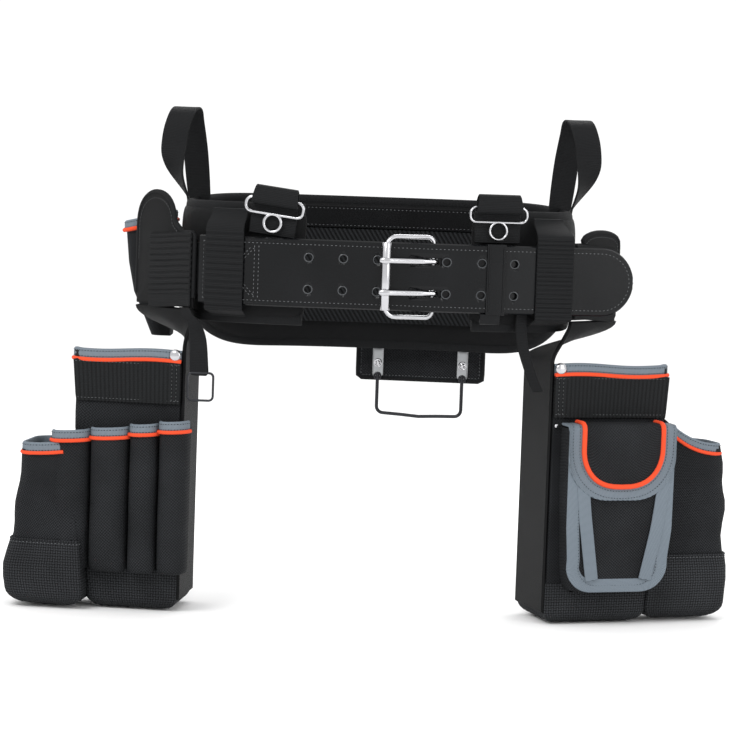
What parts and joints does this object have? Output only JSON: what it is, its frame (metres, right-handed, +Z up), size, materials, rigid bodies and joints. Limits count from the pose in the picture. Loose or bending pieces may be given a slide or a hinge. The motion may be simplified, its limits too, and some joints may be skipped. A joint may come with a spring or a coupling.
{
  "type": "tool belt",
  "caption": "Padded tool belt with a two-prong roller buckle, carry handles, suspender rings, a wire hammer loop and two hanging pouches with pockets, tubes and a flap.",
  "frame": {"origin": "centre of the waist opening at the leather belt's mid height", "axes": "+X to the wearer's left, +Y to the wearer's back, +Z up; the buckle faces -Y"},
  "size_m": [0.7193, 0.3479, 0.4968],
  "materials": {
    "nylon": "matt woven ballistic nylon",
    "webbing": "ribbed nylon webbing",
    "leather": "smooth, half gloss, with fine grain",
    "binding": "grey woven binding tape with an orange piping edge",
    "nickel": "bright nickel plate",
    "steel": "dark plated steel wire"
  },
  "bodies": {
    "root": {"waist_pad": "nylon", "hanger_left": "nylon", "hanger_right": "nylon", "side_holster": "nylon", "web_belt": "webbing", "pad_loop_left": "webbing", "pad_loop_right": "webbing", "pad_loop_back_left": "webbing", "pad_loop_back_right": "webbing", "suspender_tab_left": "webbing", "suspender_tab_right": "webbing", "hammer_belt_loop": "webbing", "hanger_strap_left": "webbing", "hanger_strap_right": "webbing", "hanger_tunnel_left": "webbing", "hanger_tunnel_right": "webbing", "lanyard_strap_left": "webbing", "lanyard_strap_right": "webbing", "holster_belt_loop": "webbing", "leather_billet": "leather", "leather_chape": "leather", "hammer_plate": "leather", "hammer_loop": "steel", "hammer_rivet_left": "steel", "hammer_rivet_right": "steel"},
    "buckle_frame": {"buckle_frame": "nickel"},
    "buckle_roller": {"buckle_roller": "nickel"},
    "prong_upper": {"prong_upper": "nickel"},
    "prong_lower": {"prong_lower": "nickel"},
    "keeper": {"keeper": "leather"},
    "suspender_ring_left": {"suspender_ring_left": "nickel"},
    "suspender_ring_right": {"suspender_ring_right": "nickel"},
    "strap_ring": {"strap_ring": "steel"},
    "carry_handle_left": {"carry_handle_left": "webbing"},
    "carry_handle_right": {"carry_handle_right": "webbing"},
    "left_pouch": {"left_back_panel": "nylon", "left_front_panel": "nylon", "left_side_panel": "nylon", "left_rear_panel": "nylon", "left_base": "nylon", "left_side_pocket": "nylon", "left_rim_binding": "binding", "left_webbing_band": "webbing", "left_rivet": "nickel", "left_tool_tube_1": "nylon", "left_tool_tube_2": "nylon", "left_tool_tube_3": "nylon", "left_tool_tube_4": "nylon"},
    "right_pouch": {"right_back_panel": "nylon", "right_front_panel": "nylon", "right_side_panel": "nylon", "right_rear_panel": "nylon", "right_base": "nylon", "right_side_pocket": "nylon", "right_rim_binding": "binding", "right_webbing_band": "webbing", "right_rivet": "nickel", "phone_pocket": "nylon"},
    "phone_flap": {"phone_flap": "nylon"}
  },
  "joints": [
    {"name": "buckle_tilt", "type": "hinge", "parent": "root", "child": "buckle_frame", "pos_m": [0.053, -0.16085, 0], "axis": [0, 0, 1], "range_deg": [0, 50]},
    {"name": "roller_spin", "type": "hinge", "parent": "buckle_frame", "child": "buckle_roller", "pos_m": [0.008, -0.1706, 0], "axis": [0, 0, 1], "continuous": true},
    {"name": "prong_upper_lift", "type": "hinge", "parent": "buckle_frame", "child": "prong_upper", "pos_m": [0.053, -0.16085, 0.0153], "axis": [0, 0, 1], "range_deg": [0, 35]},
    {"name": "prong_lower_lift", "type": "hinge", "parent": "buckle_frame", "child": "prong_lower", "pos_m": [0.053, -0.16085, -0.0153], "axis": [0, 0, 1], "range_deg": [0, 35]},
    {"name": "keeper_slide", "type": "slide", "parent": "root", "child": "keeper", "axis": [0.9835, 0.1808, 0], "range_m": [-0.006, 0.006]},
    {"name": "suspender_left_swing", "type": "hinge", "parent": "root", "child": "suspender_ring_left", "pos_m": [-0.09973, -0.15702, 0.069], "axis": [-0.984, 0.1302, 0.1219], "range_deg": [0, 85]},
    {"name": "suspender_right_swing", "type": "hinge", "parent": "root", "child": "suspender_ring_right", "pos_m": [0.11458, -0.15461, 0.069], "axis": [-0.9812, -0.1928, 0], "range_deg": [0, 85]},
    {"name": "strap_ring_swing", "type": "hinge", "parent": "root", "child": "strap_ring", "pos_m": [-0.1685, -0.1331, -0.1016], "axis": [-1, 0, 0], "range_deg": [-30, 60]},
    {"name": "handle_left_lean", "type": "hinge", "parent": "root", "child": "carry_handle_left", "pos_m": [-0.189, 0.004, 0.0621], "axis": [0, 1, 0], "range_deg": [-15, 15], "stiffness_Nm_per_rad": 0.05},
    {"name": "handle_right_lean", "type": "hinge", "parent": "root", "child": "carry_handle_right", "pos_m": [0.189, 0.004, 0.0621], "axis": [0, 1, 0], "range_deg": [-15, 15], "stiffness_Nm_per_rad": 0.05},
    {"name": "left_pouch_swing", "type": "hinge", "parent": "root", "child": "left_pouch", "pos_m": [-0.20368, -0.09947, -0.0415], "axis": [-0.6428, 0.766, 0], "range_deg": [0, 24]},
    {"name": "right_pouch_swing", "type": "hinge", "parent": "root", "child": "right_pouch", "pos_m": [0.20368, -0.09947, -0.0415], "axis": [-0.6428, -0.766, 0], "range_deg": [0, 30]},
    {"name": "flap_lift", "type": "hinge", "parent": "right_pouch", "child": "phone_flap", "pos_m": [0.2391, -0.10824, -0.1345], "axis": [-0.9511, -0.309, 0], "range_deg": [0, 90]}
  ]
}
